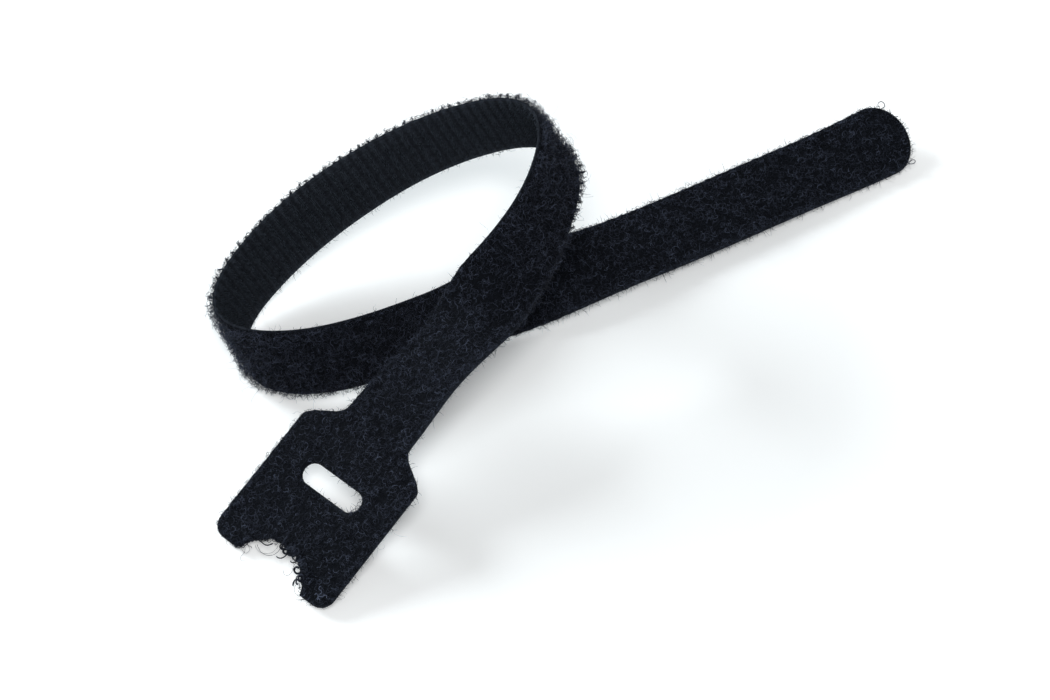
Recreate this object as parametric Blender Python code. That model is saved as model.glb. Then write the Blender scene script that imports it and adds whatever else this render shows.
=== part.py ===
"""Hook and loop cable tie: a strap cut in one piece, lying in a loop that crosses over itself.

The flat pattern has a wide slotted head, a straight strap and a rounded tail.
It is cut in place along a strap that bends and twists but never stretches.
The loop pile is on the outside of the loop and the rows of hooks are on the inside.
"""

import math

import bmesh
import bpy
import numpy as np
from mathutils import Vector

MM = 0.001

# Flat pattern: s runs along the strap from the head's end, v runs across it from its middle
STRAP_WIDTH = 12.5 * MM
HEAD_WIDTH = 23.4 * MM
HEAD_CORNER_RADIUS = 2.4 * MM
SHOULDER_START = 21.8 * MM
SHOULDER_LENGTH = 4.8 * MM
SLOT_WIDTH = 3.5 * MM
SLOT_LENGTH = 11.2 * MM
SLOT_CENTRE = 15.5 * MM
TAIL_TIP_REACH = 5.0 * MM
NOTCH_DEPTH = 4.6 * MM
NOTCH_OFFSET = -0.3 * MM
NOTCH_FRAY = 0.35 * MM
FRAY_LONG_WAVE = 2.2 * MM
FRAY_SHORT_WAVE = 0.86 * MM
FRAY_EASE = 1.0 * MM

# Section: base cloth with pile on one face and rows of hooks on the other
BASE_THICKNESS = 0.6 * MM
PILE_HEIGHT = 0.8 * MM
HOOK_HEIGHT = 0.7 * MM
HOOK_ROOT_HEIGHT = 0.25 * MM
HOOK_ROW_PITCH = 1.6 * MM
BARE_EDGE = 0.5 * MM

# How the strap lies: each stretch has its length in course spans, and how fast it bends
# and twists at its far end, in degrees for each span
COURSE_SPAN = 10.0 * MM
START_BEND = 0
START_TWIST = 0
STRETCHES = (
    ("head", 2.4, 0, 0),
    ("neck", 1.13, 10, -16),
    ("head run", 1.0, -13, 20),
    ("over the crossing", 0.8, -21, 61),
    ("past the crossing", 0.6, 20, 25),
    ("rise", 1.3, 22, 5),
    ("right turn", 1.0, 73, 11),
    ("right turn easing", 0.7, 44, -1),
    ("right turn end", 0.7, 15, 0),
    ("back run, right", 2.1, 9, 2),
    ("back run, left", 2.3, 15, -4),
    ("left turn", 0.8, 68, -4),
    ("left turn, lowest", 0.7, 68, -24),
    ("left turn easing", 0.9, 34, -8),
    ("left turn end", 1.1, 14, -1),
    ("front run", 1.1, 3, 1),
    ("into the crossing", 0.9, -4, -28),
    ("under the crossing", 1.2, 3, -23),
    ("tail start", 1.9, -4, 1),
    ("tail", 2.8, 2, 0),
    ("tail end", 2.3, -17, 11),
)
# The strap is laid from the middle of the back run, both ways
LAID_FROM = "back run, left"
LAID_HEADING_ANGLE = -156.0
LAID_SLOPE_ANGLE = -22.0
LAID_LEAN_ANGLE = 98.5

# Fineness of the mesh
LAY_STEP = 0.5 * MM
END_ROWS = 4
SLOT_END_STEPS = 6
TIP_STEPS = 6
TIP_ROWS = 4
MIDDLE_CELLS = 12
CORNER_SHARES = (0.0, 0.05, 0.21, 0.5, 1.0)

CLOTH_COLOUR = (0.012, 0.013, 0.017, 1.0)
CLOTH_ROUGHNESS = 0.95


def clear_scene():
    for item in list(bpy.data.objects):
        bpy.data.objects.remove(item, do_unlink=True)


def strap_length():
    return sum(spans for name, spans, bend, twist in STRETCHES) * COURSE_SPAN


class Lay:
    """The strap's middle line and its frame, found by following the bends and twists."""

    def __init__(self):
        places = [0.0]
        bends = [START_BEND]
        twists = [START_TWIST]
        laid_from = 0.0
        for name, spans, bend, twist in STRETCHES:
            if name == LAID_FROM:
                laid_from = places[-1]
            places.append(places[-1] + spans * COURSE_SPAN)
            bends.append(bend)
            twists.append(twist)
        self.places = np.array(places)
        self.bends = np.radians(bends) / COURSE_SPAN
        self.twists = np.radians(twists) / COURSE_SPAN
        forward = self.follow(laid_from, self.places[-1])
        backward = self.follow(laid_from, 0.0)
        track = backward[:0:-1] + forward
        self.s = np.array([row[0] for row in track])
        self.point = np.array([row[1] for row in track])
        self.across = np.array([row[2][1] for row in track])

    def first_frame(self):
        heading = math.radians(LAID_HEADING_ANGLE)
        slope = math.radians(LAID_SLOPE_ANGLE)
        lean = math.radians(LAID_LEAN_ANGLE)
        along = np.array([
            math.cos(slope) * math.cos(heading),
            math.cos(slope) * math.sin(heading),
            math.sin(slope),
        ])
        level = np.array([-math.sin(heading), math.cos(heading), 0.0])
        upward = np.cross(along, level)
        across = math.cos(lean) * level + math.sin(lean) * upward
        return np.array([along, across, np.cross(along, across)])

    def follow(self, start, end):
        """Rows of place, point and frame (along, across, outward) from start to end."""
        count = max(1, math.ceil(abs(end - start) / LAY_STEP))
        step = (end - start) / count
        frame = self.first_frame()
        point = np.zeros(3)
        rows = [(start, point, frame)]
        for i in range(count):
            middle = start + (i + 0.5) * step
            bend = np.interp(middle, self.places, self.bends) * step
            twist = np.interp(middle, self.places, self.twists) * step
            turned = turn_frame(frame, bend * frame[1] + twist * frame[0])
            point = point + step * (frame[0] + turned[0]) / 2
            frame = turned
            rows.append((start + (i + 1) * step, point, frame))
        return rows

    def place(self, s, v, height):
        """World point of pattern place (s, v) at a height above the strap's middle surface."""
        inside = min(max(s, 0.0), self.places[-1])
        i = min(max(int(np.searchsorted(self.s, inside)) - 1, 0), len(self.s) - 2)
        part = (inside - self.s[i]) / (self.s[i + 1] - self.s[i])
        along = self.point[i + 1] - self.point[i]
        along = along / np.linalg.norm(along)
        across = self.across[i] * (1 - part) + self.across[i + 1] * part
        across = across / np.linalg.norm(across)
        outward = np.cross(along, across)
        outward = outward / np.linalg.norm(outward)
        middle = self.point[i] * (1 - part) + self.point[i + 1] * part
        return middle + v * across + height * outward


def turn_frame(frame, turn):
    angle = np.linalg.norm(turn)
    if angle < 1e-12:
        return frame
    axis = turn / angle
    swept = np.cross(axis, frame)
    kept = np.outer(frame @ axis, axis)
    return frame * math.cos(angle) + swept * math.sin(angle) + kept * (1 - math.cos(angle))


def half_width(s):
    """Half the pattern's width at s, from the head through the shoulders to the strap."""
    part = min(max((s - SHOULDER_START) / SHOULDER_LENGTH, 0.0), 1.0)
    narrowing = (1 - math.cos(math.pi * part)) / 2
    return HEAD_WIDTH / 2 - (HEAD_WIDTH - STRAP_WIDTH) / 2 * narrowing


def tip_setback(v):
    """How far the rounded tail tip stays behind its foremost point at v."""
    part = min(abs(v) / (STRAP_WIDTH / 2), 1.0)
    return TAIL_TIP_REACH * (1 - math.sqrt(1 - part ** 2))


def head_end(v):
    """Where the head ends at v: round corners, and the frayed notch where the next tie was cut off."""
    past_corner = abs(v) - (HEAD_WIDTH / 2 - HEAD_CORNER_RADIUS)
    if past_corner > 0:
        return HEAD_CORNER_RADIUS - math.sqrt(max(HEAD_CORNER_RADIUS ** 2 - past_corner ** 2, 0.0))
    notch = NOTCH_DEPTH - tip_setback(v - NOTCH_OFFSET)
    if notch <= 0:
        return 0.0
    long_wave = math.sin(2 * math.pi * v / FRAY_LONG_WAVE + 1.0)
    short_wave = math.sin(2 * math.pi * v / FRAY_SHORT_WAVE)
    fray = NOTCH_FRAY * (0.6 * long_wave + 0.4 * short_wave)
    return notch + fray * min(1.0, notch / FRAY_EASE)


def slot_half(s):
    """Half the slot's length at s. Outside the slot it stays at the straight part's half length."""
    radius = SLOT_WIDTH / 2
    away = min(abs(s - SLOT_CENTRE), radius)
    return SLOT_LENGTH / 2 - radius + math.sqrt(radius ** 2 - away ** 2)


def edge_distance(s, v):
    """Distance in from the nearest cut edge of the pattern."""
    radius = SLOT_WIDTH / 2
    beside_slot = max(abs(v) - (SLOT_LENGTH / 2 - radius), 0.0)
    return min(
        half_width(s) - abs(v),
        s - head_end(v),
        strap_length() - tip_setback(v) - s,
        math.hypot(beside_slot, s - SLOT_CENTRE) - radius,
    )


def head_columns(s):
    """Places across the head, from one side edge past the slot to the other."""
    beyond_slot = s > SLOT_CENTRE + SLOT_WIDTH / 2
    half = HEAD_WIDTH / 2
    slot_edge = slot_half(s)
    side = [half - share * HEAD_CORNER_RADIUS for share in CORNER_SHARES]
    side += list(np.linspace(side[-1], slot_edge + BARE_EDGE, 4)[1:])
    middle = list(np.linspace(slot_edge, -slot_edge, MIDDLE_CELLS + 1))
    columns = side + middle + [-v for v in reversed(side)]
    shrink = half_width(s) / half if beyond_slot else 1.0
    return [-v * shrink for v in columns]


def spaced(start, end, pitch):
    """Evenly spaced places after start, up to and with end, about a pitch apart."""
    count = max(1, round((end - start) / pitch))
    return [start + (end - start) * i / count for i in range(1, count + 1)]


class Pattern:
    """The flat strap as rows of points (s, v, hook height) and the faces between them."""

    def __init__(self):
        self.points = []
        self.faces = []
        self.row_count = 0

    def add_row(self, places):
        crest = self.row_count % 2 == 1
        self.row_count += 1
        first = len(self.points)
        height = HOOK_HEIGHT if crest else HOOK_ROOT_HEIGHT
        self.points += [(s, v, height) for s, v in places]
        return list(range(first, len(self.points)))

    def join(self, near, far, near_keys=None, far_keys=None, skip=()):
        """Faces between two rows. Keys pick the columns that meet; those between them fan out."""
        near_keys = near_keys or range(len(near))
        far_keys = far_keys or range(len(far))
        for i in range(len(near_keys) - 1):
            if i in skip:
                continue
            across_far = far[far_keys[i]:far_keys[i + 1] + 1]
            across_near = near[near_keys[i]:near_keys[i + 1] + 1]
            self.faces.append([across_near[0]] + across_far + across_near[:0:-1])


def cut_head(pattern):
    """Rows from the frayed end to the neck. Returns the last row."""
    end_zone = NOTCH_DEPTH + HEAD_CORNER_RADIUS / 2
    columns = head_columns(end_zone)
    row = pattern.add_row([(head_end(v), v) for v in columns])
    for k in range(END_ROWS + 1):
        places = []
        for v in columns:
            start = head_end(v) + BARE_EDGE
            places.append((start + (end_zone - start) * k / END_ROWS, v))
        following = pattern.add_row(places)
        pattern.join(row, following)
        row = following

    slot_near = SLOT_CENTRE - SLOT_WIDTH / 2
    slot_far = SLOT_CENTRE + SLOT_WIDTH / 2
    for s in spaced(end_zone, slot_near, HOOK_ROW_PITCH / 2):
        following = pattern.add_row([(s, v) for v in head_columns(s)])
        pattern.join(row, following)
        row = following

    side_cells = (len(columns) - 1 - MIDDLE_CELLS) // 2
    slot_cells = range(side_cells, side_cells + MIDDLE_CELLS)
    for k in range(1, SLOT_END_STEPS + 1):
        s = SLOT_CENTRE - SLOT_WIDTH / 2 * math.cos(math.pi * k / SLOT_END_STEPS)
        following = pattern.add_row([(s, v) for v in head_columns(s)])
        pattern.join(row, following, skip=slot_cells)
        row = following

    for s in spaced(slot_far, SHOULDER_START + SHOULDER_LENGTH, HOOK_ROW_PITCH / 2):
        following = pattern.add_row([(s, v) for v in head_columns(s)])
        pattern.join(row, following)
        row = following
    return row


def cut_strap(pattern, neck_row):
    """Rows of the straight strap and the rounded tail, joined to the neck."""
    half = STRAP_WIDTH / 2
    strap_columns = [-half, -half + BARE_EDGE, half - BARE_EDGE, half]
    neck = SHOULDER_START + SHOULDER_LENGTH
    tip_zone = strap_length() - TAIL_TIP_REACH - BARE_EDGE
    last = len(neck_row) - 1
    near_keys = [0, 2, last - 2, last]
    row = neck_row
    for s in spaced(neck, tip_zone - HOOK_ROW_PITCH / 2, HOOK_ROW_PITCH / 2):
        following = pattern.add_row([(s, v) for v in strap_columns])
        pattern.join(row, following, near_keys=near_keys)
        row = following
        near_keys = None

    angles = [math.pi * (k / (2 * TIP_STEPS) - 0.5) for k in range(2 * TIP_STEPS + 1)]
    tip_columns = [half * math.sin(angle) for angle in angles]
    following = pattern.add_row([(tip_zone, v) for v in tip_columns])
    pattern.join(row, following, far_keys=[0, 1, 2 * TIP_STEPS - 1, 2 * TIP_STEPS])
    row = following
    for k in range(1, TIP_ROWS + 2):
        places = []
        for v in tip_columns:
            end = strap_length() - tip_setback(v)
            full_height_end = end - BARE_EDGE
            reach = min(k / TIP_ROWS, 1.0)
            s = tip_zone + (full_height_end - tip_zone) * reach
            places.append((end if k > TIP_ROWS else s, v))
        following = pattern.add_row(places)
        pattern.join(row, following)
        row = following


def thicken(pattern, lay):
    """Closed body: the pattern raised to the pile side, lowered to the hook side, walled between."""
    mesh = bmesh.new()
    used = {index for face in pattern.faces for index in face}
    pile = {}
    hook = {}
    for index in sorted(used):
        s, v, hook_height = pattern.points[index]
        fullness = min(max(edge_distance(s, v) / BARE_EDGE, 0.0), 1.0)
        above = BASE_THICKNESS / 2 + PILE_HEIGHT * fullness
        below = BASE_THICKNESS / 2 + hook_height * fullness
        pile[index] = mesh.verts.new(Vector(lay.place(s, v, above)))
        hook[index] = mesh.verts.new(Vector(lay.place(s, v, -below)))
    edges = {(a, b) for face in pattern.faces for a, b in zip(face, face[1:] + face[:1])}
    for face in pattern.faces:
        mesh.faces.new([pile[index] for index in face])
        mesh.faces.new([hook[index] for index in reversed(face)])
    for a, b in sorted(edges):
        if (b, a) not in edges:
            mesh.faces.new([pile[b], pile[a], hook[a], hook[b]])
    return mesh


def cloth_material():
    material = bpy.data.materials.new("woven_nylon")
    material.use_nodes = True
    shader = material.node_tree.nodes["Principled BSDF"]
    shader.inputs["Base Color"].default_value = CLOTH_COLOUR
    shader.inputs["Roughness"].default_value = CLOTH_ROUGHNESS
    shader.inputs["Metallic"].default_value = 0.0
    material.diffuse_color = CLOTH_COLOUR
    return material


def set_down(mesh):
    """Move the body so that its lowest point is on the floor and its box is centred over the origin."""
    corners = np.array([vertex.co for vertex in mesh.verts])
    low, high = corners.min(axis=0), corners.max(axis=0)
    centre = (low + high) / 2
    bmesh.ops.translate(mesh, verts=mesh.verts, vec=Vector((-centre[0], -centre[1], -low[2])))


def make_cable_tie():
    pattern = Pattern()
    neck_row = cut_head(pattern)
    cut_strap(pattern, neck_row)
    mesh = thicken(pattern, Lay())
    set_down(mesh)
    data = bpy.data.meshes.new("cable_tie")
    mesh.to_mesh(data)
    mesh.free()
    tie = bpy.data.objects.new("cable_tie", data)
    tie.data.materials.append(cloth_material())
    bpy.context.scene.collection.objects.link(tie)
    return tie


clear_scene()
make_cable_tie()
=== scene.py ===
"""The looks of a hook and loop cable tie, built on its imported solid.

The strap is laid again from the same bends and twists as its solid, and dressed with
woven base cloth, curly loop pile outside, rows of hooks inside, edge threads and fray.
"""

import math

import bpy
import numpy as np
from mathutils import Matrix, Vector


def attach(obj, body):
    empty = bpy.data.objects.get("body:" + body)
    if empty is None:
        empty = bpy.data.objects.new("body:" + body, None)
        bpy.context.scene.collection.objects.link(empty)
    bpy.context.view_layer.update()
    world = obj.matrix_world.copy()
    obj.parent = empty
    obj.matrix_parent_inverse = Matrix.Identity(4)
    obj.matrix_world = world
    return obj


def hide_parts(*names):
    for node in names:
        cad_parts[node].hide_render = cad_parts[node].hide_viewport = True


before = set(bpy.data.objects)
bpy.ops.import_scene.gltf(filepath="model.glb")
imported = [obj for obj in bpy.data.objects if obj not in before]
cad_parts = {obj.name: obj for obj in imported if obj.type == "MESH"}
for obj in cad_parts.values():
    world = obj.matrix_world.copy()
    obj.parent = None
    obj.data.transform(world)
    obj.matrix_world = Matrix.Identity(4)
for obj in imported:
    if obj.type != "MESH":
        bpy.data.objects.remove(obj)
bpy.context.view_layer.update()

MM = 0.001
random = np.random.default_rng(12)

# Flat pattern, as in the part's source: s runs along the strap, v across it
STRAP_WIDTH = 12.5 * MM
HEAD_WIDTH = 23.4 * MM
HEAD_CORNER_RADIUS = 2.4 * MM
SHOULDER_START = 21.8 * MM
SHOULDER_LENGTH = 4.8 * MM
SLOT_WIDTH = 3.5 * MM
SLOT_LENGTH = 11.2 * MM
SLOT_CENTRE = 15.5 * MM
TAIL_TIP_REACH = 5.0 * MM
NOTCH_DEPTH = 4.6 * MM
NOTCH_OFFSET = -0.3 * MM
NOTCH_FRAY = 0.35 * MM
FRAY_LONG_WAVE = 2.2 * MM
FRAY_SHORT_WAVE = 0.86 * MM
LONG_WAVE_SHARE = 0.6
LONG_WAVE_SHIFT = 1.0
SHORT_WAVE_SHARE = 0.4
FRAY_EASE = 1.0 * MM
LOBE_ROUNDING = 0.8 * MM
BASE_THICKNESS = 0.6 * MM
HOOK_ROW_PITCH = 1.6 * MM

# The lay, as in the part's source: length in course spans, and bend and twist in degrees
# for each span at the stretch's far end
COURSE_SPAN = 10.0 * MM
START_BEND = 0
START_TWIST = 0
STRETCHES = (
    ("head", 2.4, 0, 0),
    ("neck", 1.13, 10, -16),
    ("head run", 1.0, -13, 20),
    ("over the crossing", 0.8, -21, 61),
    ("past the crossing", 0.6, 20, 25),
    ("rise", 1.3, 22, 5),
    ("right turn", 1.0, 73, 11),
    ("right turn easing", 0.7, 44, -1),
    ("right turn end", 0.7, 15, 0),
    ("back run, right", 2.1, 9, 2),
    ("back run, left", 2.3, 15, -4),
    ("left turn", 0.8, 68, -4),
    ("left turn, lowest", 0.7, 68, -24),
    ("left turn easing", 0.9, 34, -8),
    ("left turn end", 1.1, 14, -1),
    ("front run", 1.1, 3, 1),
    ("into the crossing", 0.9, -4, -28),
    ("under the crossing", 1.2, 3, -23),
    ("tail start", 1.9, -4, 1),
    ("tail", 2.8, 2, 0),
    ("tail end", 2.3, -17, 11),
)
LAID_FROM = "back run, left"
LAID_HEADING_ANGLE = -156.0
LAID_SLOPE_ANGLE = -22.0
LAID_LEAN_ANGLE = 98.5
LAID_POINT = np.array((-33.290, 22.328, 15.831)) * MM
LAY_STEP = 0.25 * MM

# Camera, as the photograph was taken
CAMERA_ELEVATION = 52.0
CAMERA_DISTANCE = 0.4094
CAMERA_LENS = 89.14
CAMERA_AIM = (-0.00769, 0.00063, 0.00023)
CAMERA_SENSOR = 36.0
CAMERA_NEAREST = 0.01

# Keeps a length from being zero where it divides
TINY = 1e-12

TUBE_SIDES = 3
THREAD_SIDES = 4
YARN_SIDES = 6


class Lay:
    """The strap's middle line and frames, with a fast lookup for many places at once."""

    def __init__(self):
        places = [0.0]
        bends = [START_BEND]
        twists = [START_TWIST]
        for name, spans, bend, twist in STRETCHES:
            if name == LAID_FROM:
                laid_from = places[-1]
            places.append(places[-1] + spans * COURSE_SPAN)
            bends.append(bend)
            twists.append(twist)
        self.places = np.array(places)
        self.bends = np.radians(bends) / COURSE_SPAN
        self.twists = np.radians(twists) / COURSE_SPAN
        forward = self.follow(laid_from, self.places[-1])
        backward = self.follow(laid_from, 0.0)
        track = backward[:0:-1] + forward
        self.s = np.array([row[0] for row in track])
        self.point = np.array([row[1] for row in track])
        self.frame = np.array([row[2] for row in track])

    def first_frame(self):
        heading = math.radians(LAID_HEADING_ANGLE)
        slope = math.radians(LAID_SLOPE_ANGLE)
        lean = math.radians(LAID_LEAN_ANGLE)
        along = np.array([
            math.cos(slope) * math.cos(heading),
            math.cos(slope) * math.sin(heading),
            math.sin(slope),
        ])
        level = np.array([-math.sin(heading), math.cos(heading), 0.0])
        upward = np.cross(along, level)
        across = math.cos(lean) * level + math.sin(lean) * upward
        return np.array([along, across, np.cross(along, across)])

    def follow(self, start, end):
        count = max(1, math.ceil(abs(end - start) / LAY_STEP))
        step = (end - start) / count
        frame_here = self.first_frame()
        point = LAID_POINT
        rows = [(start, point, frame_here)]
        for i in range(count):
            middle = start + (i + 0.5) * step
            bend = np.interp(middle, self.places, self.bends) * step
            twist = np.interp(middle, self.places, self.twists) * step
            turned = turn_frame(frame_here, bend * frame_here[1] + twist * frame_here[0])
            point = point + step * (frame_here[0] + turned[0]) / 2
            frame_here = turned
            rows.append((start + (i + 1) * step, point, frame_here))
        return rows

    def frames(self, s):
        """Frames (along, across, outward) at many places s, with their middle points."""
        inside = np.clip(s, 0.0, self.places[-1])
        i = np.clip(np.searchsorted(self.s, inside) - 1, 0, len(self.s) - 2)
        part = (inside - self.s[i]) / (self.s[i + 1] - self.s[i])
        wide = part[:, None, None]
        axes = self.frame[i] * (1 - wide) + self.frame[i + 1] * wide
        axes /= np.linalg.norm(axes, axis=2, keepdims=True)
        middle = self.point[i] * (1 - part[:, None]) + self.point[i + 1] * part[:, None]
        middle = middle + (s - inside)[:, None] * axes[:, 0]
        return middle, axes

    def place(self, s, v, height):
        """World points of pattern places (s, v) at heights above the strap's middle surface."""
        s, v, height = np.broadcast_arrays(*(np.asarray(a, float) for a in (s, v, height)))
        middle, axes = self.frames(s.ravel())
        points = middle + v.ravel()[:, None] * axes[:, 1] + height.ravel()[:, None] * axes[:, 2]
        return points.reshape(s.shape + (3,))


def turn_frame(axes, turn):
    angle = np.linalg.norm(turn)
    if angle < TINY:
        return axes
    axis = turn / angle
    swept = np.cross(axis, axes)
    kept = np.outer(axes @ axis, axis)
    return axes * math.cos(angle) + swept * math.sin(angle) + kept * (1 - math.cos(angle))


LENGTH = sum(spans for name, spans, bend, twist in STRETCHES) * COURSE_SPAN
lay = Lay()


def half_width(s):
    part = np.clip((s - SHOULDER_START) / SHOULDER_LENGTH, 0.0, 1.0)
    return HEAD_WIDTH / 2 - (HEAD_WIDTH - STRAP_WIDTH) / 4 * (1 - np.cos(math.pi * part))


def tip_setback(v):
    part = np.minimum(np.abs(v) / (STRAP_WIDTH / 2), 1.0)
    return TAIL_TIP_REACH * (1 - np.sqrt(1 - part ** 2))


def head_end(v):
    """Where the head ends at v: round corners, and the frayed notch."""
    v = np.asarray(v, float)
    past_corner = np.abs(v) - (HEAD_WIDTH / 2 - HEAD_CORNER_RADIUS)
    rounding = np.maximum(HEAD_CORNER_RADIUS ** 2 - past_corner ** 2, 0.0)
    corner = HEAD_CORNER_RADIUS - np.sqrt(rounding)
    notch = NOTCH_DEPTH - tip_setback(v - NOTCH_OFFSET)
    long_wave = np.sin(2 * math.pi * v / FRAY_LONG_WAVE + LONG_WAVE_SHIFT)
    short_wave = np.sin(2 * math.pi * v / FRAY_SHORT_WAVE)
    fray = NOTCH_FRAY * (LONG_WAVE_SHARE * long_wave + SHORT_WAVE_SHARE * short_wave)
    frayed = notch + fray * np.minimum(1.0, notch / FRAY_EASE)
    past_notch = np.clip(v - NOTCH_OFFSET - STRAP_WIDTH / 2, 0.0, LOBE_ROUNDING)
    worn = LOBE_ROUNDING - np.sqrt(LOBE_ROUNDING ** 2 - (LOBE_ROUNDING - past_notch) ** 2)
    lobes = np.where(v > 0, worn, 0.0)
    notched = np.where(notch > 0, np.maximum(frayed, lobes), lobes)
    return np.where(past_corner > 0, corner, notched)


def slot_half(s):
    radius = SLOT_WIDTH / 2
    away = np.minimum(np.abs(s - SLOT_CENTRE), radius)
    return SLOT_LENGTH / 2 - radius + np.sqrt(radius ** 2 - away ** 2)


def edge_distance(s, v):
    """Distance in from the nearest cut edge of the pattern, negative outside it."""
    radius = SLOT_WIDTH / 2
    beside_slot = np.maximum(np.abs(v) - (SLOT_LENGTH / 2 - radius), 0.0)
    slot = np.hypot(beside_slot, s - SLOT_CENTRE) - radius
    side = half_width(s) - np.abs(v)
    ends = np.minimum(s - head_end(v), LENGTH - tip_setback(v) - s)
    return np.minimum(np.minimum(side, ends), slot)


def scatter(per_square_mm, start, end, inset):
    """Random places on the pattern between start and end, at least inset from its edges."""
    half = half_width(start) if start < SHOULDER_START else STRAP_WIDTH / 2
    count = int(per_square_mm * (end - start) * 2 * half / MM ** 2)
    s = random.uniform(start, end, count)
    v = random.uniform(-half, half, count)
    keep = edge_distance(s, v) > inset
    return s[keep], v[keep]


def mesh_piece(name, points, faces, material, tones):
    """An object from arrays of points, quads and a tone for each point. It rides on the strap."""
    data = bpy.data.meshes.new(name)
    faces = np.asarray(faces)
    sides = faces.shape[1]
    data.vertices.add(len(points))
    data.vertices.foreach_set("co", np.asarray(points, np.float32).ravel())
    data.loops.add(faces.size)
    data.loops.foreach_set("vertex_index", faces.ravel().astype(np.int32))
    data.polygons.add(len(faces))
    data.polygons.foreach_set("loop_start", np.arange(0, faces.size, sides, dtype=np.int32))
    data.update(calc_edges=True)
    data.validate()
    data.shade_smooth()
    colours = data.color_attributes.new("tone", "FLOAT_COLOR", "POINT")
    values = np.repeat(np.asarray(tones, np.float32)[:, None], 4, axis=1)
    values[:, 3] = 1.0
    colours.data.foreach_set("color", values.ravel())
    data.materials.append(material)
    piece = bpy.data.objects.new(name, data)
    bpy.context.scene.collection.objects.link(piece)
    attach(piece, "root")
    return piece


def tubes(paths, radii, reference, sides=TUBE_SIDES):
    """Thin tubes along many paths (count, steps, 3), ringed from a reference vector."""
    count, steps, _ = paths.shape
    along = np.gradient(paths, axis=1)
    along /= np.linalg.norm(along, axis=2, keepdims=True) + TINY
    first = np.cross(along, reference)
    first /= np.linalg.norm(first, axis=2, keepdims=True) + TINY
    second = np.cross(along, first)
    angles = (np.arange(sides) * 2 * math.pi / sides)[:, None]
    ring = first[:, :, None] * np.cos(angles) + second[:, :, None] * np.sin(angles)
    points = paths[:, :, None] + ring * radii[:, :, None, None]
    tube, step, side = np.indices((count, steps - 1, sides))
    start = (tube * steps + step) * sides
    next_side = (side + 1) % sides
    corners = (side, next_side, sides + next_side, sides + side)
    quads = np.stack([start + corner for corner in corners], -1)
    return points.reshape(-1, 3), quads.reshape(-1, 4)


# Base cloth: the pattern as a fine grid, thin at its edges
CLOTH_ROW = 1.0 * MM
CLOTH_EDGE = 0.3 * MM
CLOTH_EDGE_SHARE = 0.35
CORNER_OFFSETS = (0.0, 0.1 * MM, 0.35 * MM, 0.8 * MM, 1.5 * MM, 2.4 * MM)
FLANK_COLUMNS = 9
MIDDLE_CELLS = 14
SLOT_END_STEPS = 10
END_ROWS = 8
END_ROW_POWER = 1.5
TIP_ROWS = 6
SELVEDGE = 0.9 * MM
UV_PER_METRE = 100

# Tones of the cloth's two faces: plain, what the selvedge adds, and what the cut rim adds or
# takes on the side where v is positive and on the other one
PILE_FACE_TONE = 0.02
PILE_FACE_SELVEDGE = 0.1
PILE_FACE_RIMS = (0.08, 0.3)
HOOK_FACE_TONE = 0.5
HOOK_FACE_SELVEDGE = 0.42
HOOK_FACE_RIMS = (0.25, 0.0)


def head_columns(s):
    half = HEAD_WIDTH / 2
    slot_edge = float(slot_half(s))
    side = [half - offset for offset in CORNER_OFFSETS]
    side += list(np.linspace(side[-1], slot_edge + CLOTH_EDGE, FLANK_COLUMNS)[1:])
    middle = list(np.linspace(slot_edge, -slot_edge, MIDDLE_CELLS + 1))
    columns = side + middle + [-v for v in reversed(side)]
    shrink = float(half_width(s)) / half if s > SLOT_CENTRE + SLOT_WIDTH / 2 else 1.0
    return -np.array(columns) * shrink


def spaced(start, end, pitch):
    count = max(1, round((end - start) / pitch))
    return [start + (end - start) * i / count for i in range(1, count + 1)]


def cloth_rows():
    """Rows (s, v) of the whole pattern, each with whether the slot opens just before it."""
    end_zone = NOTCH_DEPTH + HEAD_CORNER_RADIUS / 2
    columns = head_columns(end_zone)
    rows = []
    start = head_end(columns)
    for k in range(END_ROWS + 1):
        reach = (k / END_ROWS) ** END_ROW_POWER
        rows.append((start + (end_zone - start) * reach, columns, False))
    for s in spaced(end_zone, SLOT_CENTRE - SLOT_WIDTH / 2, CLOTH_ROW):
        rows.append((np.full(len(columns), s), head_columns(s), False))
    for k in range(1, SLOT_END_STEPS + 1):
        s = SLOT_CENTRE - SLOT_WIDTH / 2 * math.cos(math.pi * k / SLOT_END_STEPS)
        rows.append((np.full(len(columns), s), head_columns(s), True))
    tip_zone = LENGTH - TAIL_TIP_REACH - CLOTH_EDGE
    for s in spaced(SLOT_CENTRE + SLOT_WIDTH / 2, tip_zone, CLOTH_ROW):
        rows.append((np.full(len(columns), s), head_columns(s), False))
    last = head_columns(tip_zone)
    end = LENGTH - tip_setback(last)
    for k in range(1, TIP_ROWS + 1):
        reach = 1 - (1 - k / TIP_ROWS) ** 2
        rows.append((tip_zone + (end - tip_zone) * reach, last, False))
    return rows


def cloth_rim(s, v):
    """1 at the cloth's cut edges, and 0 from CLOTH_EDGE inward."""
    return 1 - np.clip(edge_distance(s, v) / CLOTH_EDGE, 0.0, 1.0)


def cloth_height(s, v):
    """Half of the cloth's thickness, which thins to its cut edges."""
    fullness = np.sqrt(1 - cloth_rim(s, v) ** 2)
    return BASE_THICKNESS / 2 * (CLOTH_EDGE_SHARE + (1 - CLOTH_EDGE_SHARE) * fullness)


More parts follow.
